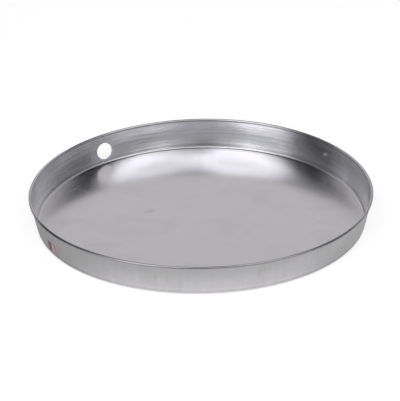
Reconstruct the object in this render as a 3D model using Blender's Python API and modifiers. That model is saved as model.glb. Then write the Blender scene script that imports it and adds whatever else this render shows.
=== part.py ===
"""Round sheet-steel drain pan with a rolled rim and one side outlet hole.

The pan is one drawn sheet: a flat floor, a rounded corner, a flared wall and a rim rolled outwards over
a round steel wire. An adhesive label sits on the outer wall. Metres, +Z up. The origin is the centre of
the underside, and the outlet hole faces +Y.
"""

import math

import bpy

# Driving dimensions of the pan
RIM_DIAMETER = 0.6604        # over the rolled rim
HEIGHT = 0.0635              # underside of the floor to the top of the rolled rim
WALL_FLARE = math.radians(9.8)  # lean of the wall from upright
CORNER_RADIUS = 0.0045       # inside, between floor and wall
SHEET = 0.00055              # thickness of the drawn sheet

# Rolled rim
WIRE_DIAMETER = 0.0032       # wire inside the roll
WIRE_GAP = 0.0003            # clearance between the wire and the roll
ROLL_EDGE_GAP = 0.0005       # between the roll's free edge and the wall

# Outlet hole, punched square to the wall
HOLE_DIAMETER = 0.0350
HOLE_HEIGHT = 0.0270         # centre of the hole above the ground
HOLE_BEARING = math.radians(90.0)

# Adhesive label, with its sizes measured on the wall
LABEL_WIDTH = 0.0280
LABEL_HEIGHT = 0.0200
LABEL_THICKNESS = 0.0002
LABEL_GAP = 0.0003           # between the label and the wall
LABEL_FOOT = 0.0105          # lower edge above the ground
LABEL_BEARING = math.radians(171.7)

# Facets
STEPS_AROUND = 72
STEPS_ROLL_UNDER = 5
STEPS_ROLL_OVER = 4
STEPS_ROLL_BACK = 3
STEPS_CORNER = 5
STEPS_WIRE = 12
STEPS_HOLE = 40
STEPS_LABEL = 8
MERGE_DISTANCE = 0.00001
CUTTER_REACH = 0.012         # how far the punch stands clear on each side of the wall

# Sizes that follow from the driving dimensions
ROLL_INNER_RADIUS = WIRE_DIAMETER / 2 + WIRE_GAP
ROLL_OUTER_RADIUS = ROLL_INNER_RADIUS + SHEET
ROLL_CENTRE_RADIUS = RIM_DIAMETER / 2 - ROLL_OUTER_RADIUS
ROLL_CENTRE_HEIGHT = HEIGHT - ROLL_OUTER_RADIUS
CORNER_OUTER_RADIUS = CORNER_RADIUS + SHEET
# The wall's outer face is tangent to the inside of the roll, and is carried down to the ground
BASE_RADIUS = ROLL_CENTRE_RADIUS - (
    ROLL_INNER_RADIUS / math.cos(WALL_FLARE) + ROLL_CENTRE_HEIGHT * math.tan(WALL_FLARE))
# The floor is flat out to where the corner's arc starts, which is tangent to the floor and the wall
FLOOR_RADIUS = BASE_RADIUS - CORNER_OUTER_RADIUS * (1 - math.sin(WALL_FLARE)) / math.cos(WALL_FLARE)


def wall_radius(height):
    """Radius of the wall's outer face at a height above the ground."""
    return BASE_RADIUS + height * math.tan(WALL_FLARE)


def arc(centre, radius, start, end, steps):
    """Points (radius, height) on an arc about a centre, from one angle to another, both included."""
    points = []
    for step in range(steps + 1):
        angle = start + (end - start) * step / steps
        points.append((centre[0] + radius * math.cos(angle), centre[1] + radius * math.sin(angle)))
    return points


def pan_profile():
    """Outer face of the sheet: from the roll's free edge over the rim, down the wall and to the axis."""
    roll_centre = (ROLL_CENTRE_RADIUS, ROLL_CENTRE_HEIGHT)
    wall_side = math.pi - WALL_FLARE
    free_edge = wall_side - 2 * math.pi + math.acos((ROLL_INNER_RADIUS - ROLL_EDGE_GAP) / ROLL_OUTER_RADIUS)
    under = arc(roll_centre, ROLL_INNER_RADIUS, free_edge, 0.0, STEPS_ROLL_UNDER)
    over = arc(roll_centre, ROLL_INNER_RADIUS, 0.0, math.pi / 2, STEPS_ROLL_OVER)
    back = arc(roll_centre, ROLL_INNER_RADIUS, math.pi / 2, wall_side, STEPS_ROLL_BACK)
    corner_centre = (FLOOR_RADIUS, CORNER_OUTER_RADIUS)
    corner = arc(corner_centre, CORNER_OUTER_RADIUS, -WALL_FLARE, -math.pi / 2, STEPS_CORNER)
    flat = [(FLOOR_RADIUS - CORNER_RADIUS, 0.0), (0.0, 0.0)]
    return under + over[1:] + back[1:] + corner + flat


def clear_scene():
    """Start from an empty file."""
    for item in list(bpy.data.objects):
        bpy.data.objects.remove(item, do_unlink=True)


def new_collection(name):
    """A collection under the scene's own."""
    collection = bpy.data.collections.new(name)
    bpy.context.scene.collection.children.link(collection)
    return collection


def new_material(name, colour, roughness, metallic):
    """A Principled material of one colour."""
    material = bpy.data.materials.new(name)
    material.use_nodes = True
    shader = material.node_tree.nodes["Principled BSDF"]
    shader.inputs["Base Color"].default_value = (*colour, 1.0)
    shader.inputs["Roughness"].default_value = roughness
    shader.inputs["Metallic"].default_value = metallic
    material.diffuse_color = (*colour, 1.0)
    return material


def profile_object(name, points, collection):
    """An open outline in the XZ plane, as (radius, height) points, ready to be turned about Z."""
    mesh = bpy.data.meshes.new(name)
    vertices = [(radius, 0.0, height) for radius, height in points]
    edges = [(index, index + 1) for index in range(len(points) - 1)]
    mesh.from_pydata(vertices, edges, [])
    turned = bpy.data.objects.new(name, mesh)
    collection.objects.link(turned)
    return turned


def add_screw(turned, angle, steps, closes):
    """Turn an outline about its object's Z axis."""
    screw = turned.modifiers.new("Turn", "SCREW")
    screw.axis = "Z"
    screw.angle = angle
    screw.steps = steps
    screw.render_steps = steps
    screw.use_merge_vertices = closes
    screw.merge_threshold = MERGE_DISTANCE
    screw.use_smooth_shade = True


def add_thickness(sheet, thickness, offset):
    """Give an open surface its thickness: offset -1 grows behind its faces, and 1 in front of them."""
    solidify = sheet.modifiers.new("Sheet", "SOLIDIFY")
    solidify.thickness = thickness
    solidify.offset = offset
    solidify.use_even_offset = True


def take(item, collection):
    """Move an object that an operator made into a collection."""
    for other in list(item.users_collection):
        other.objects.unlink(item)
    collection.objects.link(item)


def make_pan_shell(collection, cutters):
    """The drawn sheet with its floor, corner, wall and rolled rim, and the punched outlet hole."""
    shell = profile_object("pan_shell", pan_profile(), collection)
    add_screw(shell, 2 * math.pi, STEPS_AROUND, True)
    add_thickness(shell, SHEET, -1.0)
    punch = shell.modifiers.new("Outlet hole", "BOOLEAN")
    punch.operation = "DIFFERENCE"
    punch.object = make_hole_cutter(cutters)
    shell.data.materials.append(new_material("zinc_sheet", (0.60, 0.59, 0.62), 0.30, 1.0))
    return shell


def make_hole_cutter(cutters):
    """A round punch through the wall, square to the wall's face."""
    radius = wall_radius(HOLE_HEIGHT) - SHEET / 2 / math.cos(WALL_FLARE)
    place = (radius * math.cos(HOLE_BEARING), radius * math.sin(HOLE_BEARING), HOLE_HEIGHT)
    bpy.ops.mesh.primitive_cylinder_add(
        vertices=STEPS_HOLE, radius=HOLE_DIAMETER / 2, depth=2 * CUTTER_REACH, location=place,
        rotation=(0.0, math.pi / 2 + WALL_FLARE, HOLE_BEARING))
    cutter = bpy.context.object
    cutter.name = "hole_punch"
    cutter.display_type = "WIRE"
    cutter.hide_render = True
    take(cutter, cutters)
    return cutter


def make_rim_wire(collection):
    """The steel wire that the rim is rolled over, closed into a ring."""
    bpy.ops.mesh.primitive_torus_add(
        major_radius=ROLL_CENTRE_RADIUS, minor_radius=WIRE_DIAMETER / 2,
        major_segments=STEPS_AROUND, minor_segments=STEPS_WIRE, location=(0.0, 0.0, ROLL_CENTRE_HEIGHT))
    wire = bpy.context.object
    wire.name = "rim_wire"
    wire.data.name = "rim_wire"
    wire.data.shade_smooth()
    wire.data.materials.append(new_material("wire_steel", (0.42, 0.41, 0.40), 0.45, 1.0))
    take(wire, collection)
    return wire


def make_label(collection):
    """The adhesive label, a thin patch that follows the outside of the wall."""
    outward = (math.cos(WALL_FLARE), -math.sin(WALL_FLARE))
    label_top = LABEL_FOOT + LABEL_HEIGHT * math.cos(WALL_FLARE)
    outline = []
    for height in (label_top, LABEL_FOOT):
        outline.append((wall_radius(height) + LABEL_GAP * outward[0], height + LABEL_GAP * outward[1]))
    label = profile_object("label", outline, collection)
    sweep = LABEL_WIDTH / wall_radius(LABEL_FOOT)
    add_screw(label, sweep, STEPS_LABEL, False)
    add_thickness(label, LABEL_THICKNESS, 1.0)
    label.rotation_euler = (0.0, 0.0, LABEL_BEARING - sweep / 2)
    label.data.materials.append(new_material("label_film", (0.42, 0.05, 0.05), 0.40, 0.0))
    return label


def main():
    """Build the pan."""
    clear_scene()
    parts = new_collection("drain_pan")
    cutters = new_collection("cutters")
    make_pan_shell(parts, cutters)
    make_rim_wire(parts)
    make_label(parts)


main()
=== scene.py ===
"""Round drain pan of drawn zinc-coated sheet steel, with a rolled rim and one punched outlet hole.

The pan is one sheet: a flat floor, a rounded corner, a flared wall and a rim rolled outwards over a steel
wire. A small red label sits on the outer wall. Metres, +Z up, origin at the centre of the underside.
"""

from __future__ import annotations

import logging
import math
from collections.abc import Iterable
from dataclasses import dataclass, replace
from enum import Enum

import bmesh
import bpy
from mathutils import Matrix, Vector


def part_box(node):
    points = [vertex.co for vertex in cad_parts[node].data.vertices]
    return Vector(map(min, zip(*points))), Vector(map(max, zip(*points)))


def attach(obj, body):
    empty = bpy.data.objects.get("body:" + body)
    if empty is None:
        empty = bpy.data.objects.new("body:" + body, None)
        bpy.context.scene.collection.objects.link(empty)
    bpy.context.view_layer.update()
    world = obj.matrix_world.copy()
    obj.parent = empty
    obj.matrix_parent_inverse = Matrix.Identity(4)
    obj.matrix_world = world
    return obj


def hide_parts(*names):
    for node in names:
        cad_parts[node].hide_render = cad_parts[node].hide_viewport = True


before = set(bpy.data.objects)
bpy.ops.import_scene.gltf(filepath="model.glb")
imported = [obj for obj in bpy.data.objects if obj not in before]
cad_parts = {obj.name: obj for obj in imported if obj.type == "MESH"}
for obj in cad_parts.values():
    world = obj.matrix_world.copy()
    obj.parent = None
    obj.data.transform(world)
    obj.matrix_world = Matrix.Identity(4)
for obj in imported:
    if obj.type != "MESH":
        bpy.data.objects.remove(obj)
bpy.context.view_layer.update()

log = logging.getLogger("drain_pan")

BODY = "root"
MERGE_DISTANCE = 0.00001
SMOOTH_ANGLE = math.radians(35.0)
RUN = "run"                      # point attribute: length along the sheet's outline from the axis, in metres
LABEL_MAP = "label_map"          # the label's own UV map, from 0 to 1 across and up
FLOOR_DROP = -0.0001             # the studio floor lies just under the pan
CAMERA_SIDE = 270.0              # bearing of the camera in its own frame, in degrees
BOX_MARGIN = 0.00003             # how far the true pan stays inside the CAD box, for its ripples
NOISE_MIDDLE = 0.5               # where noise and streaks lie on average
UPWARD = Vector((0.0, 0.0, 1.0))
Triple = tuple[float, float, float]
Colour = Triple
Span = tuple[float, float]
Socket = bpy.types.NodeSocket
Feed = Socket | float | tuple[float, ...]


class Slot(Enum):
    """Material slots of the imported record."""

    ZINC = "zinc_sheet"
    WIRE = "wire_steel"
    LABEL = "label_film"


def smoothstep(low: float, high: float, value: float) -> float:
    """Ease from 0 at low to 1 at high.

    Args:
        low: Value at which the ease starts.
        high: Value at which it ends.
        value: Value to ease.

    Returns:
        A share from 0 to 1.
    """
    share = min(max((value - low) / (high - low), 0.0), 1.0)
    return share * share * (3.0 - 2.0 * share)


def bearing_of(point: Vector) -> float:
    """Angle of a point about +Z, from +X."""
    return math.atan2(point.y, point.x)


def turn_apart(first: float, second: float) -> float:
    """Signed smallest angle from the second bearing to the first."""
    return math.remainder(first - second, 2.0 * math.pi)


@dataclass(frozen=True)
class RolledPanSection:
    """Half section of the pan, as the outer face of its sheet.

    The driving sizes come from the frame's boxes where a box gives them.
    """

    rim_radius: float            # over the rolled rim
    height: float                # underside of the floor to the top of the rim
    wire_radius: float
    wall_flare: float = math.radians(9.8)
    corner_radius: float = 0.0045
    sheet: float = 0.00055
    wire_gap: float = 0.0003
    roll_edge_gap: float = 0.0005

    @classmethod
    def from_frame(cls) -> RolledPanSection:
        """Read the driving sizes from the frame's nodes."""
        shell_low, shell_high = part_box("pan_shell")
        wire_low, wire_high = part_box("rim_wire")
        return cls(
            rim_radius=(shell_high.x - shell_low.x) / 2.0 - BOX_MARGIN,
            height=shell_high.z - shell_low.z - BOX_MARGIN,
            wire_radius=(wire_high.z - wire_low.z) / 2.0,
        )

    @property
    def roll_inner(self) -> float:
        """Radius of the roll's inside, next to the wire."""
        return self.wire_radius + self.wire_gap

    @property
    def roll_outer(self) -> float:
        """Radius of the roll's outside."""
        return self.roll_inner + self.sheet

    @property
    def roll_centre(self) -> tuple[float, float]:
        """Radius and height of the roll's centre."""
        return self.rim_radius - self.roll_outer, self.height - self.roll_outer

    @property
    def base_radius(self) -> float:
        """Radius of the wall's outer face, carried down to the ground."""
        centre_radius, centre_height = self.roll_centre
        lean = self.roll_inner / math.cos(self.wall_flare) + centre_height * math.tan(self.wall_flare)
        return centre_radius - lean

    @property
    def corner_outer(self) -> float:
        """Outside radius of the corner between floor and wall."""
        return self.corner_radius + self.sheet

    @property
    def floor_radius(self) -> float:
        """Radius out to which the floor is flat."""
        run = self.corner_outer * (1.0 - math.sin(self.wall_flare)) / math.cos(self.wall_flare)
        return self.base_radius - run

    @property
    def wall_foot(self) -> float:
        """Height at which the corner's arc meets the straight wall."""
        return self.corner_outer * (1.0 - math.sin(self.wall_flare))

    def wall_radius(self, height: float) -> float:
        """Radius of the wall's outer face at a height."""
        return self.base_radius + height * math.tan(self.wall_flare)

    def foot_run(self) -> float:
        """Length along the outer face from the axis to the foot of the straight wall."""
        return self.floor_radius + self.corner_outer * (math.pi / 2.0 - self.wall_flare)

    def bend_run(self) -> float:
        """Length along the outer face from the axis to where the wall turns out into the roll."""
        return self.foot_run() + (self.roll_centre[1] - self.wall_foot) / math.cos(self.wall_flare)


@dataclass(frozen=True)
class OutletHole:
    """Round hole punched square to the wall."""

    radius: float = 0.0175
    height: float = 0.0270       # centre above the ground
    bearing: float = math.radians(90.0)
    clear: float = 0.0040        # least width of the faces left round the hole before the mesh's own grid

    def centre(self, section: RolledPanSection) -> Vector:
        """Centre of the hole on the wall's outer face."""
        reach = section.wall_radius(self.height)
        return Vector((reach * math.cos(self.bearing), reach * math.sin(self.bearing), self.height))

    def axis(self, section: RolledPanSection) -> Vector:
        """Direction out of the pan along the hole, square to the wall."""
        flat, lean = math.cos(section.wall_flare), math.sin(section.wall_flare)
        return Vector((flat * math.cos(self.bearing), flat * math.sin(self.bearing), -lean))


@dataclass(frozen=True)
class SheetForm:
    """How far the real sheet strays from a true pan: slack floor, rippled wall and sprung rim."""

    section: RolledPanSection
    spring_drop: float = 0.0036          # from the rim's two high points to its two low ones
    spring_bearing: float = math.radians(41.3)
    spring_ease: float = 1.5             # how late in the wall's height the spring sets in
    floor_crown: float = 0.0006          # rise of the slack floor
    crown_lobes: tuple[Triple, ...] = ((2.0, 0.35, 0.7), (3.0, 0.20, -1.1))   # waves round, share, phase
    crown_lobes_end: float = 0.6         # share of the floor's radius at which the lobes are full
    crown_fade: float = 0.35             # and from which the crown fades to its edge
    ripple_depth: float = 0.00012        # draw ripples in the upper wall
    ripple_waves: tuple[int, ...] = (23, 37, 58)
    ripple_beat: float = 0.4             # how far each set of ripples swells and fades round the wall
    ripple_phases: Span = (1.7, 2.1)     # what keeps the sets' beats and waves apart
    wall_bow: float = 0.0012             # how far the wall bellies out between its foot and the roll
    edge_lift: float = 0.0045            # rise of the floor's edge where the slack floor springs up
    lift_bearing: float = math.radians(48.0)
    lift_spread: float = math.radians(40.0)
    lift_start: float = 0.87             # share of the floor's radius from which its edge rises
    dent_bearing: float = math.radians(1.9)
    dent_height: float = 0.0330
    dent_radius: float = 0.0075
    dent_depth: float = -0.0010

    def spring(self, point: Vector) -> float:
        """Drop of the sprung rim at a point: a saddle that fades to nothing at the floor."""
        share = max(point.z, 0.0) / self.section.height
        saddle = 1.0 - math.cos(2.0 * (bearing_of(point) - self.spring_bearing))
        return -0.5 * self.spring_drop * saddle * share ** self.spring_ease

    def crown(self, point: Vector) -> float:
        """Rise of the slack floor, which stays flat where it carries the pan."""
        reach = math.hypot(point.x, point.y) / self.section.floor_radius
        if reach >= 1.0 or point.z > self.section.corner_outer:
            return 0.0
        bearing = bearing_of(point)
        lobes = sum(share * math.cos(waves * bearing + phase) for waves, share, phase in self.crown_lobes)
        swell = 1.0 + lobes * smoothstep(0.0, self.crown_lobes_end, reach)
        return self.floor_crown * swell * (1.0 - smoothstep(self.crown_fade, 1.0, reach))

    def lift(self, point: Vector) -> float:
        """Rise of the sprung edge of the floor and of the wall's foot above it."""
        reach = math.hypot(point.x, point.y) / self.section.floor_radius
        aside = turn_apart(bearing_of(point), self.lift_bearing) / self.lift_spread
        across = smoothstep(self.lift_start, 1.0, reach)
        upward = 1.0 - smoothstep(0.0, self.section.height, point.z)
        return self.edge_lift * across * upward * math.exp(-0.5 * aside * aside)

    def bow(self, point: Vector) -> float:
        """Outward belly of the wall."""
        foot = self.section.wall_foot
        share = (point.z - foot) / (self.section.roll_centre[1] - foot)
        return self.wall_bow * 4.0 * share * (1.0 - share) if 0.0 < share < 1.0 else 0.0

    def ripple(self, point: Vector) -> float:
        """Radial ripple left in the wall by drawing, strongest halfway up."""
        if point.z < self.section.wall_foot:
            return 0.0
        share = min(point.z / self.section.height, 1.0)
        bearing = bearing_of(point)
        beat_phase, wave_phase = self.ripple_phases
        total = 0.0
        for index, waves in enumerate(self.ripple_waves):
            swell = math.sin((index + 2) * bearing + beat_phase * index)
            beat = 1.0 - self.ripple_beat + self.ripple_beat * swell
            total += beat * math.sin(waves * bearing + wave_phase * index) / (index + 1.0)
        return self.ripple_depth * total * math.sin(math.pi * share)

    def dent(self, point: Vector) -> float:
        """Push of the small round dent in the wall, outwards where it is positive."""
        if point.z < self.section.wall_foot:
            return 0.0
        along = turn_apart(bearing_of(point), self.dent_bearing) * self.section.wall_radius(self.dent_height)
        spread = math.hypot(along, point.z - self.dent_height) / self.dent_radius
        return self.dent_depth * (1.0 - smoothstep(0.0, 1.0, spread))

    def shaped(self, point: Vector) -> Vector:
        """Where a point of the true pan ends up on the real one.

        Args:
            point: Point on the true pan.

        Returns:
            The moved point.
        """
        push = self.ripple(point) + self.dent(point) + self.bow(point)
        outward = Vector((point.x, point.y, 0.0))
        if outward.length > 0.0:
            outward.normalize()
        rise = self.spring(point) + self.crown(point) + self.lift(point)
        return point + push * outward + Vector((0.0, 0.0, rise))


def arc(centre: tuple[float, float], radius: float, start: float, end: float, steps: int) -> list[Vector]:
    """Points on an arc in the XZ plane, both ends included.

    Args:
        centre: Radius and height of the arc's centre.
        radius: Radius of the arc.
        start: Angle of the first point.
        end: Angle of the last point.
        steps: Number of chords.

    Returns:
        The points.
    """
    angles = [start + (end - start) * step / steps for step in range(steps + 1)]
    return [
        Vector((centre[0] + radius * math.cos(angle), 0.0, centre[1] + radius * math.sin(angle)))
        for angle in angles
    ]


def straight(start: Vector, end: Vector, steps: int) -> list[Vector]:
    """Points on a straight line, both ends included."""
    return [start.lerp(end, step / steps) for step in range(steps + 1)]


def turn_once(bm: bmesh.types.BMesh, steps: int) -> None:
    """Turn an outline once about +Z and weld it where it meets itself.

    Args:
        bm: Mesh that holds the outline.
        steps: Number of steps round.
    """
    bmesh.ops.spin(
        bm, geom=bm.verts[:] + bm.edges[:], cent=(0.0, 0.0, 0.0), axis=UPWARD,
        angle=2.0 * math.pi, steps=steps, use_merge=True, use_normal_flip=False)
    bmesh.ops.remove_doubles(bm, verts=bm.verts[:], dist=MERGE_DISTANCE)


def piece_from(name: str, bm: bmesh.types.BMesh, smooth_angle: float = SMOOTH_ANGLE) -> bpy.types.Object:
    """Turn a bmesh into a linked object at the origin, shaded smooth but for its sharp edges.

    Args:
        name: Name of the piece.
        bm: Mesh to keep, which is freed.
        smooth_angle: Edges that turn more than this stay sharp.

    Returns:
        The object.
    """
    mesh = bpy.data.meshes.new(name)
    bm.to_mesh(mesh)
    bm.free()
    mesh.shade_smooth()
    mesh.set_sharp_from_angle(angle=smooth_angle)
    piece = bpy.data.objects.new(name, mesh)
    bpy.context.scene.collection.objects.link(piece)
    return piece


@dataclass
class PanSheet:
    """The drawn sheet: floor, corner, wall and rolled rim, with the outlet hole."""

    section: RolledPanSection
    form: SheetForm
    hole: OutletHole
    steps_around: int = 480
    floor_rings: int = 16
    corner_steps: int = 8
    wall_rows: int = 20
    roll_steps: int = 30
    hole_rings: int = 3
    edge_round: float = 0.00012      # rounding on the sheared edges
    edge_turn: float = math.radians(60.0)    # least turn of a sheared edge
    name: str = "pan_sheet"

    def outline(self) -> list[Vector]:
        """Outer face of the sheet from the axis out along the floor, up the wall and round the roll."""
        section = self.section
        floor = straight(Vector((0.0, 0.0, 0.0)), Vector((section.floor_radius, 0.0, 0.0)), self.floor_rings)
        corner = arc(
            (section.floor_radius, section.corner_outer), section.corner_outer,
            -math.pi / 2.0, -section.wall_flare, self.corner_steps)
        wall_side = math.pi - section.wall_flare
        short_of_wall = math.acos((section.roll_inner - section.roll_edge_gap) / section.roll_outer)
        free_edge = wall_side - 2.0 * math.pi + short_of_wall
        roll = arc(section.roll_centre, section.roll_inner, wall_side, free_edge, self.roll_steps)
        wall = straight(corner[-1], roll[0], self.wall_rows)
        return floor + corner[1:] + wall[1:] + roll[1:]

    def turned(self) -> bmesh.types.BMesh:
        """The outline turned once about +Z, with the run along the outline kept on each point."""
        bm = bmesh.new()
        run = bm.verts.layers.float.new(RUN)
        length = 0.0
        previous = None
        for point in self.outline():
            vertex = bm.verts.new(point)
            if previous is not None:
                length += (point - previous.co).length
                bm.edges.new((previous, vertex))
            vertex[run] = length
            previous = vertex
        turn_once(bm, self.steps_around)
        bmesh.ops.recalc_face_normals(bm, faces=bm.faces[:])
        return bm

    def punch(self, bm: bmesh.types.BMesh) -> None:
        """Take a block of faces out of the wall and bridge its edge to the round hole.

        Args:
            bm: The turned sheet.
        """
        section = self.section
        centre = self.hole.centre(section)
        half_width = (self.hole.radius + self.hole.clear) / centre.xy.length
        half_height = (self.hole.radius + self.hole.clear) * math.cos(section.wall_flare)

        def in_block(point: Vector) -> bool:
            """Whether a point of the wall lies in the block round the hole."""
            aside = abs(turn_apart(bearing_of(point), self.hole.bearing))
            on_wall = section.wall_foot < point.z < section.roll_centre[1]
            return on_wall and aside < half_width and abs(point.z - centre.z) < half_height

        block = [face for face in bm.faces if in_block(face.calc_center_median())]
        inner = set(block)
        outside = {edge for face in block for edge in face.edges if not inner.issuperset(edge.link_faces)}
        bmesh.ops.delete(bm, geom=block, context="FACES")
        axis = self.hole.axis(section)
        turn = axis.to_track_quat("Z", "Y").to_matrix().to_4x4()
        ring = bmesh.ops.create_circle(
            bm, cap_ends=False, radius=self.hole.radius, segments=len(outside),
            matrix=Matrix.Translation(centre) @ turn)["verts"]
        self.settle(bm, ring)
        ring_edges = {edge for vertex in ring for edge in vertex.link_edges}
        made = bmesh.ops.bridge_loops(bm, edges=list(outside | ring_edges))
        spokes = [edge for edge in made["edges"] if edge not in outside and edge not in ring_edges]
        cut = bmesh.ops.subdivide_edges(bm, edges=spokes, cuts=self.hole_rings, use_grid_fill=False)
        self.settle(bm, [item for item in cut["geom_inner"] if isinstance(item, bmesh.types.BMVert)])
        bmesh.ops.recalc_face_normals(bm, faces=bm.faces[:])

    def settle(self, bm: bmesh.types.BMesh, vertices: Iterable[bmesh.types.BMVert]) -> None:
        """Lay points near the wall exactly on its outer face and give them their run along the outline."""
        run = bm.verts.layers.float[RUN]
        section = self.section
        for vertex in vertices:
            scale = section.wall_radius(vertex.co.z) / vertex.co.xy.length
            vertex.co.x *= scale
            vertex.co.y *= scale
            up_wall = (vertex.co.z - section.wall_foot) / math.cos(section.wall_flare)
            vertex[run] = section.foot_run() + up_wall

    def thicken(self, bm: bmesh.types.BMesh) -> None:
        """Grow the sheet's thickness behind its outer face and round over the sheared edges."""
        lowest = min(bm.faces, key=lambda face: face.calc_center_median().length)
        if lowest.normal.z > 0.0:
            bmesh.ops.reverse_faces(bm, faces=bm.faces[:])
        bmesh.ops.solidify(bm, geom=bm.faces[:], thickness=self.section.sheet)
        sheared = [edge for edge in bm.edges if edge.is_manifold and edge.calc_face_angle() > self.edge_turn]
        bmesh.ops.bevel(
            bm, geom=sheared, offset=self.edge_round, offset_type="OFFSET", segments=2, profile=0.5,
            affect="EDGES", material=-1, clamp_overlap=True)

    def build(self) -> bpy.types.Object:
        """Make the sheet as one closed mesh.

        Returns:
            The finished piece.
        """
        bm = self.turned()
        self.punch(bm)
        for vertex in bm.verts:
            vertex.co = self.form.shaped(vertex.co)
        bm.normal_update()
        self.thicken(bm)
        return piece_from(self.name, bm)


@dataclass
class RimWire:
    """The steel wire that the rim is rolled over, closed into a ring."""

    section: RolledPanSection
    form: SheetForm
    steps_around: int = 360
    steps_section: int = 16
    name: str = "rim_wire_ring"

    def build(self) -> bpy.types.Object:
        """Make the ring so that it follows the sprung rim.

        Returns:
            The finished piece.
        """
        reach, height = self.section.roll_centre
        bm = bmesh.new()
        upright = Matrix.Translation((reach, 0.0, height)) @ Matrix.Rotation(math.pi / 2.0, 4, "X")
        bmesh.ops.create_circle(
            bm, cap_ends=False, radius=self.section.wire_radius, segments=self.steps_section, matrix=upright)
        turn_once(bm, self.steps_around)
        for vertex in bm.verts:
            vertex.co = self.form.shaped(vertex.co)
        bmesh.ops.recalc_face_normals(bm, faces=bm.faces[:])
        return piece_from(self.name, bm)


@dataclass
class Wiring:
    """One node tree, with short ways to add nodes and join them."""

    tree: bpy.types.NodeTree

    def node(self, kind: str, **settings: object) -> bpy.types.Node:
        """Add a node and set its plain properties.

        Args:
            kind: Type name of the node.
            **settings: Properties to set on it.

        Returns:
            The node.
        """
        made = self.tree.nodes.new(kind)
        for name, value in settings.items():
            setattr(made, name, value)
        return made

    def feed(self, source: Feed, target: Socket) -> None:
        """Join a socket to an input, or write a plain value into it.

        Args:
            source: Socket or plain value.
            target: Input that takes it.
        """
        if isinstance(source, Socket):
            self.tree.links.new(source, target)
        else:
            target.default_value = source

    def maths(self, operation: str, first: Feed, second: Feed = 0.0, clamp: bool = False) -> Socket:
        """One step of arithmetic.

        Args:
            operation: Name of the Math node's operation.
            first: First value.
            second: Second value.
            clamp: Whether the result is kept from 0 to 1.

        Returns:
            The result.
        """
        step = self.node("ShaderNodeMath", operation=operation, use_clamp=clamp)
        self.feed(first, step.inputs[0])
        self.feed(second, step.inputs[1])
        return step.outputs[0]

    def plus(self, first: Feed, second: Feed) -> Socket:
        """Sum of two values."""
        return self.maths("ADD", first, second)

    def minus(self, first: Feed, second: Feed) -> Socket:
        """Difference of two values."""
        return self.maths("SUBTRACT", first, second)

    def times(self, first: Feed, second: Feed) -> Socket:
        """Product of two values."""
        return self.maths("MULTIPLY", first, second)

    def vector(self, operation: str, first: Feed, second: Feed | None = None) -> Socket:
        """One step of vector arithmetic.

        Args:
            operation: Name of the Vector Math node's operation.
            first: First vector.
            second: Second vector, or the factor of a SCALE.

        Returns:
            The result: a number from DOT_PRODUCT and LENGTH, a vector from the rest.
        """
        step = self.node("ShaderNodeVectorMath", operation=operation)
        self.feed(first, step.inputs[0])
        if second is not None:
            self.feed(second, step.inputs["Scale" if operation == "SCALE" else 1])
        return step.outputs["Value" if operation in ("DOT_PRODUCT", "LENGTH") else "Vector"]

    def reach(self, vector: Feed, axis: Vector) -> Socket:
        """Length of a vector along an axis."""
        return self.vector("DOT_PRODUCT", vector, tuple(axis))

    def spread(self, value: Feed, low: float, high: float, to_low: float = 0.0,
               to_high: float = 1.0) -> Socket:
        """Ease a value from one range to another.

        Args:
            value: Value to move.
            low: Value that becomes to_low.
            high: Value that becomes to_high.
            to_low: Result below low.
            to_high: Result above high.

        Returns:
            The moved value.
        """
        step = self.node("ShaderNodeMapRange", interpolation_type="SMOOTHSTEP")
        for name, number in (("From Min", low), ("From Max", high), ("To Min", to_low), ("To Max", to_high)):
            step.inputs[name].default_value = number
        self.feed(value, step.inputs["Value"])
        return step.outputs["Result"]

    def fade(self, value: Feed, low: float, high: float, full: float = 1.0) -> Socket:
        """Ease from full at low to nothing at high."""
        return self.spread(value, low, high, full, 0.0)

    def noise(self, vector: Feed, scale: Feed, detail: float = 2.0, rough: float = 0.5,
              warp: float = 0.0) -> Socket:
        """Smooth noise about 0.5.

        Args:
            vector: Place to read it at.
            scale: Repeats per unit of the place.
            detail: Number of finer layers.
            rough: Strength of each finer layer.
            warp: How far the noise pulls itself out of shape.

        Returns:
            The noise.
        """
        step = self.node("ShaderNodeTexNoise", noise_dimensions="3D")
        inputs = {"Vector": vector, "Scale": scale, "Detail": detail, "Roughness": rough, "Distortion": warp}
        for name, value in inputs.items():
            self.feed(value, step.inputs[name])
        return step.outputs["Fac"]

    def blend(self, share: Feed, first: Feed, second: Feed) -> Socket:
        """Mix two colours.

        Args:
            share: Share of the second colour.
            first: First colour.
            second: Second colour.

        Returns:
            The mixed colour.
        """
        step = self.node("ShaderNodeMix", data_type="RGBA", clamp_factor=False)
        self.feed(share, step.inputs[0])
        self.feed(first, step.inputs[6])
        self.feed(second, step.inputs[7])
        return step.outputs[2]

    def effect(self, group: bpy.types.NodeTree, **inputs: Feed) -> Socket:
        """Place one of the shared effects, with its inputs set.

        Args:
            group: The effect's node group.
            **inputs: Values or sockets by input name.

        Returns:
            The effect's one output.
        """
        placed = self.node("ShaderNodeGroup", node_tree=group)
        for name, value in inputs.items():
            self.feed(value, placed.inputs[name])
        return placed.outputs[0]

    def bump(self, shader: bpy.types.Node, height: Feed, distance: float) -> None:
        """Raise a shader's surface by a pattern, which stands distance metres high where it is 1."""
        raised = self.node("ShaderNodeBump")
        self.feed(distance, raised.inputs["Distance"])
        self.feed(height, raised.inputs["Height"])
        self.feed(raised.outputs["Normal"], shader.inputs["Normal"])

    def show(self, surface: Socket, output: str = "ShaderNodeOutputMaterial") -> None:
        """Send a shader to a new output node of the tree."""
        self.feed(surface, self.node(output).inputs["Surface"])


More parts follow.
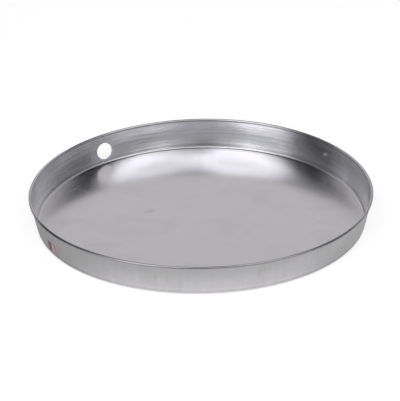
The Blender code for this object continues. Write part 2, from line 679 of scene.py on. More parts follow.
class Effects:
    """The shared surface effects, each a node group that is built once."""

    def __init__(self) -> None:
        """Build every effect."""
        self.streaks = self.build_streaks()
        self.clouds = self.build_clouds()
        self.hairlines = self.build_hairlines()
        self.mark = self.build_mark()

    @staticmethod
    def blank(name: str, inputs: dict[str, str], output: str) -> tuple[Wiring, dict[str, Socket], Socket]:
        """Start an effect.

        Args:
            name: Name of the group.
            inputs: Kind of each input, Vector or Float, by its name.
            output: Name of its one value output.

        Returns:
            The wiring, the inputs' sockets by name and the socket that takes the result.
        """
        tree = bpy.data.node_groups.new(name, "ShaderNodeTree")
        for title, kind in inputs.items():
            tree.interface.new_socket(name=title, in_out="INPUT", socket_type=f"NodeSocket{kind}")
        tree.interface.new_socket(name=output, in_out="OUTPUT", socket_type="NodeSocketFloat")
        wiring = Wiring(tree)
        given = wiring.node("NodeGroupInput")
        sockets = {title: given.outputs[title] for title in inputs}
        return wiring, sockets, wiring.node("NodeGroupOutput").inputs[output]

    def build_streaks(self) -> bpy.types.NodeTree:
        """Fine streaks, drawn out along whichever way the scale is small."""
        wiring, given, result = self.blank("drawn_streaks", {"Vector": "Vector", "Scale": "Vector"}, "Streak")
        coarse_share = 0.7
        finer = 3.7
        place = wiring.vector("MULTIPLY", given["Vector"], given["Scale"])
        coarse = wiring.times(wiring.noise(place, 1.0, 3.0, 0.6), coarse_share)
        fine = wiring.times(wiring.noise(place, finer), 1.0 - coarse_share)
        wiring.feed(wiring.spread(wiring.plus(coarse, fine), 0.3, 0.7), result)
        return wiring.tree

    def build_clouds(self) -> bpy.types.NodeTree:
        """Soft uneven patches of a duller skin."""
        kinds = {"Vector": "Vector", "Scale": "Float", "Cover": "Float"}
        wiring, given, result = self.blank("dull_clouds", kinds, "Cloud")
        shape = wiring.noise(given["Vector"], given["Scale"], 4.0, 0.55, 0.6)
        raised = wiring.plus(shape, wiring.minus(given["Cover"], NOISE_MIDDLE))
        wiring.feed(wiring.spread(raised, 0.35, 0.65), result)
        return wiring.tree

    def build_hairlines(self) -> bpy.types.NodeTree:
        """Sparse hairline scratches, as the thin level lines of stretched noise."""
        kinds = {"Vector": "Vector", "Scale": "Vector", "Width": "Float"}
        wiring, given, result = self.blank("hairline_scratches", kinds, "Scratch")
        patch_scale = 0.31
        place = wiring.vector("MULTIPLY", given["Vector"], given["Scale"])
        level = wiring.noise(place, 1.0, 1.0, 0.4, 0.3)
        off_level = wiring.maths("ABSOLUTE", wiring.minus(level, NOISE_MIDDLE))
        off_share = wiring.maths("DIVIDE", off_level, given["Width"])
        line = wiring.maths("SUBTRACT", 1.0, off_share, clamp=True)
        where = wiring.spread(wiring.noise(place, patch_scale), 0.52, 0.64)
        wiring.feed(wiring.times(line, where), result)
        return wiring.tree

    def build_mark(self) -> bpy.types.NodeTree:
        """One soft oval mark at a place, full at its middle."""
        kinds = {"Vector": "Vector", "Centre": "Vector", "Reach": "Vector"}
        wiring, given, result = self.blank("soft_mark", kinds, "Mark")
        core = 0.2
        away = wiring.vector("SUBTRACT", given["Vector"], given["Centre"])
        distance = wiring.vector("LENGTH", wiring.vector("DIVIDE", away, given["Reach"]))
        wiring.feed(wiring.fade(distance, core, 1.0), result)
        return wiring.tree


def blank_tree(owner: bpy.types.Material | bpy.types.World) -> Wiring:
    """Give a material or a world an empty node tree."""
    owner.use_nodes = True
    owner.node_tree.nodes.clear()
    return Wiring(owner.node_tree)


def blank_material(name: str) -> tuple[bpy.types.Material, Wiring, bpy.types.Node]:
    """Start a material with one Principled shader.

    Args:
        name: Name of the material.

    Returns:
        The material, its wiring and its shader.
    """
    material = bpy.data.materials.new(name)
    wiring = blank_tree(material)
    shader = wiring.node("ShaderNodeBsdfPrincipled")
    wiring.show(shader.outputs["BSDF"])
    return material, wiring, shader


def rgba(colour: Colour) -> tuple[float, float, float, float]:
    """A colour with full alpha."""
    return (*colour, 1.0)


@dataclass(frozen=True)
class SoftDullSpot:
    """A soft duller spot on the sheet, in the frame's metres: a real mark, or painted shade where it lies on
    the rim.
    """

    centre: Triple
    reach: Triple
    strength: float


@dataclass(frozen=True)
class SheetPlace:
    """Where a point of the sheet lies, in the ways that its finish reads it."""

    point: Socket                # Object coordinates
    run: Socket                  # length along the outline from the axis
    around: Socket               # level unit vector away from the axis
    flat: Socket                 # the sheet rolled out flat, as a disc
    wall: Socket                 # the wall stood upright, as a tube

    @classmethod
    def read(cls, wiring: Wiring, tube_radius: float) -> SheetPlace:
        """Work the places out in a material.

        Args:
            wiring: Wiring of the material.
            tube_radius: Radius of the upright tube.

        Returns:
            The places.
        """
        point = wiring.node("ShaderNodeTexCoord").outputs["Object"]
        run = wiring.node("ShaderNodeAttribute", attribute_type="GEOMETRY", attribute_name=RUN).outputs["Fac"]
        around = wiring.vector("NORMALIZE", wiring.vector("MULTIPLY", point, (1.0, 1.0, 0.0)))
        flat = wiring.vector("SCALE", around, run)
        upward = wiring.node("ShaderNodeCombineXYZ")
        wiring.feed(run, upward.inputs["Z"])
        level = wiring.vector("MULTIPLY", around, (tube_radius, tube_radius, 0.0))
        return cls(point, run, around, flat, wiring.vector("ADD", level, upward.outputs["Vector"]))


@dataclass(frozen=True)
class SheetPatterns:
    """What the finish of the sheet is mixed from, each running from 0 to 1."""

    on_wall: Socket
    on_rim: Socket
    outside: Socket              # the outer face of the wall
    grain: Socket                # fine rolled grain on the floor, drawn streaks on the wall
    rings: Socket                # coarser draw rings round the wall
    ripple: Socket               # upright unevenness of the wall
    cloud: Socket
    lines: Socket                # hairline scratches
    bare: Socket                 # sheared edge where the steel shows


@dataclass(frozen=True)
class ZincFinish:
    """Bright drawn zinc coat: soft mirror of a floor, streaked wall and bare sheared edges, with painted
    shade on the rim, at the wall's foot and in the bend into the roll.
    """

    section: RolledPanSection
    hole: OutletHole
    floor_colour: Colour = (0.748, 0.730, 0.762)
    inside_colour: Colour = (0.798, 0.800, 0.838)    # the wall's inner face
    outside_colour: Colour = (0.750, 0.738, 0.752)
    # painted shade: the rim's colour is darker than the rest of the sheet, standing in for its dark
    # reflection
    rim_shade_colour: Colour = (0.470, 0.462, 0.478)
    bare_colour: Colour = (0.700, 0.692, 0.700)
    floor_roughness: float = 0.150
    edge_roughness: float = 0.055    # what the floor gains towards its edge
    wall_roughness: float = 0.180
    rim_roughness: float = 0.060
    cloud_roughness: float = 0.030   # what each pattern adds
    grain_roughness: float = 0.035
    scratch_roughness: float = 0.08
    bare_roughness: float = 0.12
    cloud_middle: float = 0.4        # how cloudy a patch is that adds no roughness
    bump_height: float = 0.000010
    draw_height: float = 0.000035    # the coarser rings left round the wall by drawing
    scratch_depth: float = 0.8       # as a share of the bump height
    edge_run: Span = (0.19, 0.28)            # run over which the floor gets rougher
    wall_start: Span = (-0.0040, 0.0020)     # run from the wall's foot over which its skin takes over
    rim_start: Span = (0.00075, 0.00375)     # and from the bend below the roll, for the rim's
    outside_turn: Span = (-0.1, 0.1)         # how far a face looks outwards where inside gives way to outside
    bare_edge: Span = (0.00005, 0.0004)      # from the hole's edge, over which the bare steel ends
    bare_run: Span = (0.2, 0.25)             # run past which steel can be bare
    drawn_scale: Triple = (14.0, 14.0, 900.0)
    ring_scale: Triple = (4.0, 4.0, 210.0)
    ripple_scale: Triple = (90.0, 90.0, 9.0)
    rolled_scale: Triple = (700.0, 16.0, 16.0)
    cloud_scale: float = 11.0
    cloud_cover: float = 0.42
    scratch_scale: Triple = (26.0, 9.0, 9.0)
    scratch_width: float = 0.006
    scuff_scale: Triple = (9.0, 9.0, 60.0)
    scuff_width: float = 0.012
    dull_share: float = 0.86         # how bright skin of dullness 1 is, beside the brightest
    dullest: float = 5.0
    cloud_dulling: float = 0.34      # dullness that each pattern adds
    grain_dulling: Span = (0.9, 0.15)        # on the wall's inner and on its outer face
    ripple_dulling: Span = (0.12, 0.45)
    ring_dulling: Span = (1.1, 0.0)
    # dulling of each spot: real marks, and the rim's spots of painted shade
    mark_and_shade_dulling: float = 4.0
    scratch_shine: float = 0.35      # share of bare steel that a scratch shows
    foot_shade_band: float = 0.0065        # width of the band of painted shade in the corner at the wall's foot
    foot_shade_band_start: Span = (-0.0005, 0.0015)
    foot_shade_band_fade: float = 0.5      # share of its width from which it fades
    foot_shade_band_dulling: float = 1.3
    roll_shade_line: float = 0.0030        # width of the line of painted shade in the crease where the wall turns out into the roll
    roll_shade_line_fades: Span = (0.7, 0.2)       # shares of its width: full from there, and gone past the bend
    roll_shade_line_dulling: float = 2.4
    marks: tuple[SoftDullSpot, ...] = (
        SoftDullSpot((-0.0620, 0.0860, 0.0008), (0.0180, 0.0125, 0.0100), 0.22),
        SoftDullSpot((0.1395, 0.2790, 0.0390), (0.0090, 0.0090, 0.0075), 0.16),
        SoftDullSpot((0.1900, 0.2540, 0.0360), (0.0110, 0.0110, 0.0090), 0.14),
        SoftDullSpot((0.2300, 0.2160, 0.0390), (0.0080, 0.0080, 0.0070), 0.14),
        SoftDullSpot((-0.2530, -0.1960, 0.0380), (0.0060, 0.0060, 0.0150), 0.16),
        SoftDullSpot((-0.2400, -0.2110, 0.0360), (0.0070, 0.0070, 0.0160), 0.14),
        SoftDullSpot((-0.1010, -0.3040, 0.0380), (0.0070, 0.0070, 0.0150), 0.14),
    )
    painted_rim_shade_spots: tuple[SoftDullSpot, ...] = (      # painted shade: darker stretches of the roll, standing in for its dark reflection
        SoftDullSpot((-0.3260, 0.0343, 0.0590), (0.0850, 0.0850, 0.0300), 1.15),
        SoftDullSpot((0.0892, -0.3154, 0.0590), (0.0850, 0.0850, 0.0300), 0.60),
    )

    def patterns(self, wiring: Wiring, effects: Effects, place: SheetPlace) -> SheetPatterns:
        """Lay the patterns over the sheet.

        Args:
            wiring: Wiring of the material.
            effects: The shared effects.
            place: Where each point lies.

        Returns:
            The patterns.
        """
        foot = self.section.foot_run()
        bend = self.section.bend_run()
        on_wall = wiring.spread(place.run, *(foot + step for step in self.wall_start))
        drawn = wiring.effect(effects.streaks, Vector=place.wall, Scale=self.drawn_scale)
        rolled = wiring.effect(effects.streaks, Vector=place.flat, Scale=self.rolled_scale)
        grain = wiring.node("ShaderNodeMix", data_type="FLOAT")
        for source, target in ((on_wall, 0), (rolled, 2), (drawn, 3)):
            wiring.feed(source, grain.inputs[target])
        scratch = wiring.effect(
            effects.hairlines, Vector=place.flat, Scale=self.scratch_scale, Width=self.scratch_width)
        scuff = wiring.effect(
            effects.hairlines, Vector=place.wall, Scale=self.scuff_scale, Width=self.scuff_width)
        normal = wiring.node("ShaderNodeNewGeometry").outputs["Normal"]
        return SheetPatterns(
            on_wall=on_wall,
            on_rim=wiring.spread(place.run, *(bend + step for step in self.rim_start)),
            outside=wiring.spread(wiring.vector("DOT_PRODUCT", normal, place.around), *self.outside_turn),
            grain=grain.outputs[0],
            rings=wiring.effect(effects.streaks, Vector=place.wall, Scale=self.ring_scale),
            ripple=wiring.effect(effects.streaks, Vector=place.wall, Scale=self.ripple_scale),
            cloud=wiring.effect(
                effects.clouds, Vector=place.flat, Scale=self.cloud_scale, Cover=self.cloud_cover),
            lines=wiring.maths("MAXIMUM", scratch, wiring.times(scuff, on_wall)),
            bare=self.bare_edges(wiring, place),
        )

    def bare_edges(self, wiring: Wiring, place: SheetPlace) -> Socket:
        """Mask of the sheared edge round the hole, where the steel shows.

        Args:
            wiring: Wiring of the material.
            place: Where each point lies.

        Returns:
            The mask.
        """
        away = wiring.vector("SUBTRACT", place.point, tuple(self.hole.centre(self.section)))
        across = wiring.vector("CROSS_PRODUCT", away, tuple(self.hole.axis(self.section)))
        ends = (self.hole.radius + step for step in self.bare_edge)
        near_axis = wiring.fade(wiring.vector("LENGTH", across), *ends)
        return wiring.times(near_axis, wiring.spread(place.run, *self.bare_run))

    def darkening(self, wiring: Wiring, effects: Effects, place: SheetPlace, seen: SheetPatterns) -> Socket:
        """How far the skin is darkened, 0 where it is brightest and up to the dullest: real dulling from
        clouds, streaks and marks, and painted shade at the wall's foot, in the bend into the roll and on the
        rim.

        Args:
            wiring: Wiring of the material.
            effects: The shared effects.
            place: Where each point lies.
            seen: The patterns.

        Returns:
            The dullness.
        """
        foot, bend = self.section.foot_run(), self.section.bend_run()
        full, past = self.roll_shade_line_fades
        gains = [(seen.cloud, self.cloud_dulling)]
        streaks = (seen.grain, seen.ripple, seen.rings)
        for streak, dulling in zip(streaks, (self.grain_dulling, self.ripple_dulling, self.ring_dulling)):
            uneven = wiring.times(wiring.minus(streak, NOISE_MIDDLE), seen.on_wall)
            gains.append((uneven, wiring.spread(seen.outside, 0.0, 1.0, *dulling)))
        # painted shade in the corner at the wall's foot
        band = wiring.times(
            wiring.spread(place.run, *(foot + step for step in self.foot_shade_band_start)),
            wiring.fade(place.run, foot + self.foot_shade_band_fade * self.foot_shade_band, foot + self.foot_shade_band))
        # painted shade in the crease where the wall turns out into the roll, on the inner face only
        line = wiring.times(
            wiring.spread(place.run, bend - self.roll_shade_line, bend - full * self.roll_shade_line),
            wiring.fade(place.run, bend, bend + past * self.roll_shade_line))
        line = wiring.times(line, wiring.minus(1.0, seen.outside))
        gains += [(band, self.foot_shade_band_dulling), (line, self.roll_shade_line_dulling)]
        # real marks, then spots of painted shade on the rim
        for marks, where in ((self.marks, 1.0), (self.painted_rim_shade_spots, seen.on_rim)):
            for mark in marks:
                spot = wiring.effect(effects.mark, Vector=place.point, Centre=mark.centre, Reach=mark.reach)
                gains.append((wiring.times(spot, where), self.mark_and_shade_dulling * mark.strength))
        dull = 0.0
        for share, gain in gains:
            dull = wiring.plus(dull, wiring.times(share, gain))
        return wiring.maths("MINIMUM", dull, self.dullest)

    def skin(self, wiring: Wiring, seen: SheetPatterns, dull: Socket) -> Socket:
        """Colour of the sheet.

        Args:
            wiring: Wiring of the material.
            seen: The patterns.
            dull: The darkening: real dulling and painted shade together.

        Returns:
            The colour.
        """
        wall = wiring.blend(seen.outside, rgba(self.inside_colour), rgba(self.outside_colour))
        skin = wiring.blend(seen.on_wall, rgba(self.floor_colour), wall)
        # the rim takes its darker colour, which is painted shade
        skin = wiring.blend(seen.on_rim, skin, rgba(self.rim_shade_colour))
        colour = wiring.blend(dull, skin, wiring.vector("SCALE", skin, self.dull_share))
        for share in (wiring.times(seen.lines, self.scratch_shine), seen.bare):
            colour = wiring.blend(share, colour, rgba(self.bare_colour))
        return colour

    def roughness(self, wiring: Wiring, place: SheetPlace, seen: SheetPatterns) -> Socket:
        """Roughness of the sheet.

        Args:
            wiring: Wiring of the material.
            place: Where each point lies.
            seen: The patterns.

        Returns:
            The roughness.
        """
        edge = self.floor_roughness + self.edge_roughness
        rough = wiring.spread(place.run, *self.edge_run, self.floor_roughness, edge)
        gains = (
            (seen.on_wall, self.wall_roughness - edge),
            (seen.on_rim, self.rim_roughness - self.wall_roughness),
            (wiring.minus(seen.cloud, self.cloud_middle), self.cloud_roughness),
            (wiring.minus(seen.grain, NOISE_MIDDLE), self.grain_roughness),
            (seen.lines, self.scratch_roughness),
            (seen.bare, self.bare_roughness),
        )
        for share, gain in gains:
            rough = wiring.plus(rough, wiring.times(share, gain))
        return rough

    def relief(self, wiring: Wiring, seen: SheetPatterns) -> Socket:
        """Height of the skin's own texture, as a share of the bump height.

        Args:
            wiring: Wiring of the material.
            seen: The patterns.

        Returns:
            The height.
        """
        fine = wiring.minus(seen.grain, wiring.times(seen.lines, self.scratch_depth))
        inside = wiring.times(wiring.minus(1.0, seen.outside), seen.on_wall)
        rings = wiring.times(wiring.times(seen.rings, inside), self.draw_height / self.bump_height)
        return wiring.plus(fine, rings)

    def material(self, effects: Effects) -> bpy.types.Material:
        """Build the finish.

        Args:
            effects: The shared effects.

        Returns:
            The material.
        """
        material, wiring, shader = blank_material("drawn_zinc")
        place = SheetPlace.read(wiring, self.section.base_radius)
        seen = self.patterns(wiring, effects, place)
        dull = self.darkening(wiring, effects, place, seen)
        wiring.feed(self.skin(wiring, seen, dull), shader.inputs["Base Color"])
        wiring.feed(self.roughness(wiring, place, seen), shader.inputs["Roughness"])
        wiring.bump(shader, self.relief(wiring, seen), self.bump_height)
        wiring.feed(1.0, shader.inputs["Metallic"])
        return material


@dataclass(frozen=True)
class WireFinish:
    """Dull drawn steel wire."""

    colour: Colour = (0.50, 0.49, 0.50)
    dark_colour: Colour = (0.30, 0.28, 0.27)
    streak_scale: Triple = (60.0, 60.0, 2400.0)
    cloud_scale: float = 90.0
    cloud_cover: float = 0.45
    cloud_share: float = 0.5
    streak_share: float = 0.3
    roughness: Span = (0.34, 0.52)
    bump_height: float = 0.000006

    def material(self, effects: Effects) -> bpy.types.Material:
        """Build the finish.

        Args:
            effects: The shared effects.

        Returns:
            The material.
        """
        material, wiring, shader = blank_material("drawn_wire")
        place = wiring.node("ShaderNodeTexCoord").outputs["Object"]
        streak = wiring.effect(effects.streaks, Vector=place, Scale=self.streak_scale)
        cloud = wiring.effect(effects.clouds, Vector=place, Scale=self.cloud_scale, Cover=self.cloud_cover)
        dull = wiring.plus(wiring.times(cloud, self.cloud_share), wiring.times(streak, self.streak_share))
        colour = wiring.blend(dull, rgba(self.colour), rgba(self.dark_colour))
        wiring.feed(colour, shader.inputs["Base Color"])
        dullest = self.cloud_share + self.streak_share
        wiring.feed(wiring.spread(dull, 0.0, dullest, *self.roughness), shader.inputs["Roughness"])
        wiring.bump(shader, streak, self.bump_height)
        wiring.feed(1.0, shader.inputs["Metallic"])
        return material


@dataclass(frozen=True)
class LabelFinish:
    """Printed film: a worn red field beside a pale band, with no lettering."""

    red: Colour = (0.330, 0.085, 0.085)
    faded_red: Colour = (0.420, 0.160, 0.165)
    pale: Colour = (0.800, 0.590, 0.630)
    bare: Colour = (0.900, 0.840, 0.840)
    field_share: float = 0.60            # share of the width that is red
    soft_edge: float = 0.015
    dot_place: Triple = (0.58, 0.22, 0.0)
    dot_reach: Triple = (0.150, 0.140, 1.0)
    cloud_scale: float = 5.0
    cloud_cover: float = 0.45
    fading: float = 0.6                  # how far a cloud fades the red
    scratch_scale: Triple = (9.0, 3.0, 1.0)
    scratch_width: float = 0.03
    scratch_wear: float = 0.6            # how far each kind of wear bares the film
    fleck_wear: float = 0.35
    edge_wear: float = 0.30
    fleck_scale: float = 42.0
    rub_scale: float = 14.0
    rubbed_edge: float = 0.09            # share of the label over which its edges are rubbed
    roughness: Span = (0.32, 0.60)
    bump_height: float = 0.00002

    def wear(self, wiring: Wiring, effects: Effects, place: Socket) -> Socket:
        """How far the print is worn away: at the edges, in scratches and flecks, and at one rubbed spot.

        Args:
            wiring: Wiring of the material.
            effects: The shared effects.
            place: The label's own map.

        Returns:
            The wear, from 0 to 1.
        """
        parts = wiring.node("ShaderNodeSeparateXYZ")
        wiring.feed(place, parts.inputs["Vector"])
        ends = [parts.outputs["X"], parts.outputs["Y"]]
        ends += [wiring.minus(1.0, end) for end in ends]
        nearest = ends[0]
        for end in ends[1:]:
            nearest = wiring.maths("MINIMUM", nearest, end)
        rub = wiring.spread(wiring.noise(place, self.rub_scale, 3.0), 0.4, 0.6)
        rubbed = wiring.times(wiring.fade(nearest, 0.0, self.rubbed_edge), rub)
        fleck = wiring.spread(wiring.noise(place, self.fleck_scale, 2.0, 0.6), 0.62, 0.72)
        scratch = wiring.effect(
            effects.hairlines, Vector=place, Scale=self.scratch_scale, Width=self.scratch_width)
        worn = wiring.effect(effects.mark, Vector=place, Centre=self.dot_place, Reach=self.dot_reach)
        for share, most in ((rubbed, self.edge_wear), (scratch, self.scratch_wear), (fleck, self.fleck_wear)):
            worn = wiring.maths("MAXIMUM", worn, wiring.times(share, most))
        return worn

    def material(self, effects: Effects) -> bpy.types.Material:
        """Build the finish on the label's own map, which runs from 0 to 1 each way.

        Args:
            effects: The shared effects.

        Returns:
            The material.
        """
        material, wiring, shader = blank_material("label_film_print")
        place = wiring.node("ShaderNodeUVMap", uv_map=LABEL_MAP).outputs["UV"]
        across = wiring.reach(place, Vector((1.0, 0.0, 0.0)))
        on_pale = wiring.spread(across, self.field_share - self.soft_edge, self.field_share + self.soft_edge)
        cloud = wiring.effect(effects.clouds, Vector=place, Scale=self.cloud_scale, Cover=self.cloud_cover)
        red = wiring.blend(wiring.times(cloud, self.fading), rgba(self.red), rgba(self.faded_red))
        printed = wiring.blend(on_pale, red, rgba(self.pale))
        wear = self.wear(wiring, effects, place)
        wiring.feed(wiring.blend(wear, printed, rgba(self.bare)), shader.inputs["Base Color"])
        wiring.feed(wiring.spread(wear, 0.0, 1.0, *self.roughness), shader.inputs["Roughness"])
        wiring.bump(shader, wiring.minus(cloud, wear), self.bump_height)
        return material


@dataclass
class WallLabel:
    """Small film label stuck on the outside of the wall, with rounded corners and one corner lifting."""

    section: RolledPanSection
    form: SheetForm
    bearing: float = math.radians(171.7)
    width: float = 0.0280
    height: float = 0.0200
    foot: float = 0.0105             # lower edge above the ground, along the wall
    thickness: float = 0.0002
    gap: float = 0.0003
    corner: float = 0.0028
    columns: int = 34
    rows: int = 22
    corner_lift: float = 0.00012
    lift_start: float = 0.55         # share of the width and of the height from which that corner lifts
    pucker: float = 0.00006
    pucker_waves: Triple = (1900.0, 420.0, 700.0)    # per metre: along the width, of its sway, up the height
    pucker_sway: float = 3.0
    name: str = "label_film"

    def rounded(self, across: float, upward: float) -> tuple[float, float]:
        """Pull a point of the rectangle in to the rounded outline.

        Args:
            across: Place from the label's middle along its width.
            upward: Place from its middle along its height.

        Returns:
            The pulled place.
        """
        inner_width = self.width / 2.0 - self.corner
        inner_height = self.height / 2.0 - self.corner
        over_width = max(abs(across) - inner_width, 0.0)
        over_height = max(abs(upward) - inner_height, 0.0)
        if over_width == 0.0 or over_height == 0.0:
            return across, upward
        reach = max(over_width, over_height) / math.hypot(over_width, over_height)
        return (
            math.copysign(inner_width + over_width * reach, across),
            math.copysign(inner_height + over_height * reach, upward),
        )

    def on_wall(self, across: float, upward: float) -> Vector:
        """Place of a point of the label on the formed wall.

        Args:
            across: Place from the label's middle along its width.
            upward: Place from its middle along its height.

        Returns:
            The point in the frame.
        """
        section = self.section
        height = self.foot + (self.height / 2.0 + upward) * math.cos(section.wall_flare)
        reach = section.wall_radius(height)
        bearing = self.bearing + across / reach
        on_sheet = Vector((reach * math.cos(bearing), reach * math.sin(bearing), height))
        pull = smoothstep(self.lift_start, 1.0, 0.5 + across / self.width)
        pull *= smoothstep(self.lift_start, 1.0, 0.5 + upward / self.height)
        along, swaying, rising = self.pucker_waves
        sway = self.pucker_sway * math.sin(upward * swaying)
        wrinkle = self.pucker * math.sin(across * along + sway) * math.cos(upward * rising)
        off = self.gap + self.corner_lift * pull + wrinkle
        outward = Vector((math.cos(bearing), math.sin(bearing), -math.tan(section.wall_flare))).normalized()
        return self.form.shaped(on_sheet) + outward * off

    def build(self) -> bpy.types.Object:
        """Make the film as one thin closed sheet.

        Returns:
            The finished piece.
        """
        bm = bmesh.new()
        bmesh.ops.create_grid(bm, x_segments=self.columns, y_segments=self.rows, size=0.5, calc_uvs=True)
        layer = bm.loops.layers.uv.verify()
        layer_name = layer.name
        for face in bm.faces:
            for loop in face.loops:
                loop[layer].uv = (0.5 + loop.vert.co.x, 0.5 + loop.vert.co.y)
        for vertex in bm.verts:
            across, upward = self.rounded(vertex.co.x * self.width, vertex.co.y * self.height)
            vertex.co = self.on_wall(across, upward)
        bmesh.ops.recalc_face_normals(bm, faces=bm.faces[:])
        bm.normal_update()
        first = next(iter(bm.faces))
        if first.normal.dot(first.calc_center_median().xy.to_3d()) < 0.0:
            bmesh.ops.reverse_faces(bm, faces=bm.faces[:])
        bmesh.ops.solidify(bm, geom=bm.faces[:], thickness=-self.thickness)
        bmesh.ops.recalc_face_normals(bm, faces=bm.faces[:])
        piece = piece_from(self.name, bm)
        piece.data.uv_layers[layer_name].name = LABEL_MAP
        return piece


@dataclass(frozen=True)
class SoftGlow:
    """A soft oval light on the studio's tent, as seen from the pan."""

    aside: float                 # degrees round from the camera's side, to its right where positive
    rise: float                  # degrees above the floor
    half_width: float            # degrees
    half_height: float           # degrees
    core: float                  # share of the oval that is fully bright
    strength: float

    def axes(self, turn: float) -> tuple[Vector, Vector, Vector]:
        """Unit vectors towards the glow, along its width and along its height.

        Args:
            turn: Bearing of the camera's frame in the part's frame, in radians.

        Returns:
            The three vectors.
        """
        bearing = math.radians(CAMERA_SIDE + self.aside) + turn
        rise = math.radians(self.rise)
        level = Vector((math.cos(bearing), math.sin(bearing), 0.0))
        toward = level * math.cos(rise) + UPWARD * math.sin(rise)
        along = Vector((-math.sin(bearing), math.cos(bearing), 0.0))
        return toward, along, toward.cross(along)


@dataclass(frozen=True)
class StudioCamera:
    """The camera, by its distance, rise and aim at the pan."""

    distance: float = 5.0
    rise: float = math.radians(26.226)
    bearing: float = math.radians(-37.0)     # turn of the camera's frame about +Z
    pitch: float = math.radians(25.835)      # below level
    yaw: float = math.radians(-0.025)
    roll: float = math.radians(-0.93)
    focal_in_frames: float = 6.47            # focal length over the long side of the frame
    sensor: float = 36.0                     # millimetres
    farthest: float = 100.0

    def build(self) -> bpy.types.Object:
        """Place the camera and make it the scene's own.

        Returns:
            The camera.
        """
        data = bpy.data.cameras.new("studio_camera")
        data.sensor_width = self.sensor
        data.lens = self.focal_in_frames * self.sensor
        data.clip_end = self.farthest
        data.dof.use_dof = False
        place = Vector((0.0, -self.distance * math.cos(self.rise), self.distance * math.sin(self.rise)))
        ahead = Vector((
            math.sin(self.yaw) * math.cos(self.pitch), math.cos(self.yaw) * math.cos(self.pitch),
            -math.sin(self.pitch)))
        level = Vector((math.cos(self.yaw), -math.sin(self.yaw), 0.0))
        upright = level.cross(ahead)             # up in the picture, before the roll
        right = level * math.cos(self.roll) + upright * math.sin(self.roll)
        up = upright * math.cos(self.roll) - level * math.sin(self.roll)
        aim = Matrix((right, up, -ahead)).transposed().to_4x4()
        camera = bpy.data.objects.new("studio_camera", data)
        bpy.context.scene.collection.objects.link(camera)
        camera.matrix_world = Matrix.Rotation(self.bearing, 4, "Z") @ Matrix.Translation(place) @ aim
        bpy.context.scene.camera = camera
        return camera


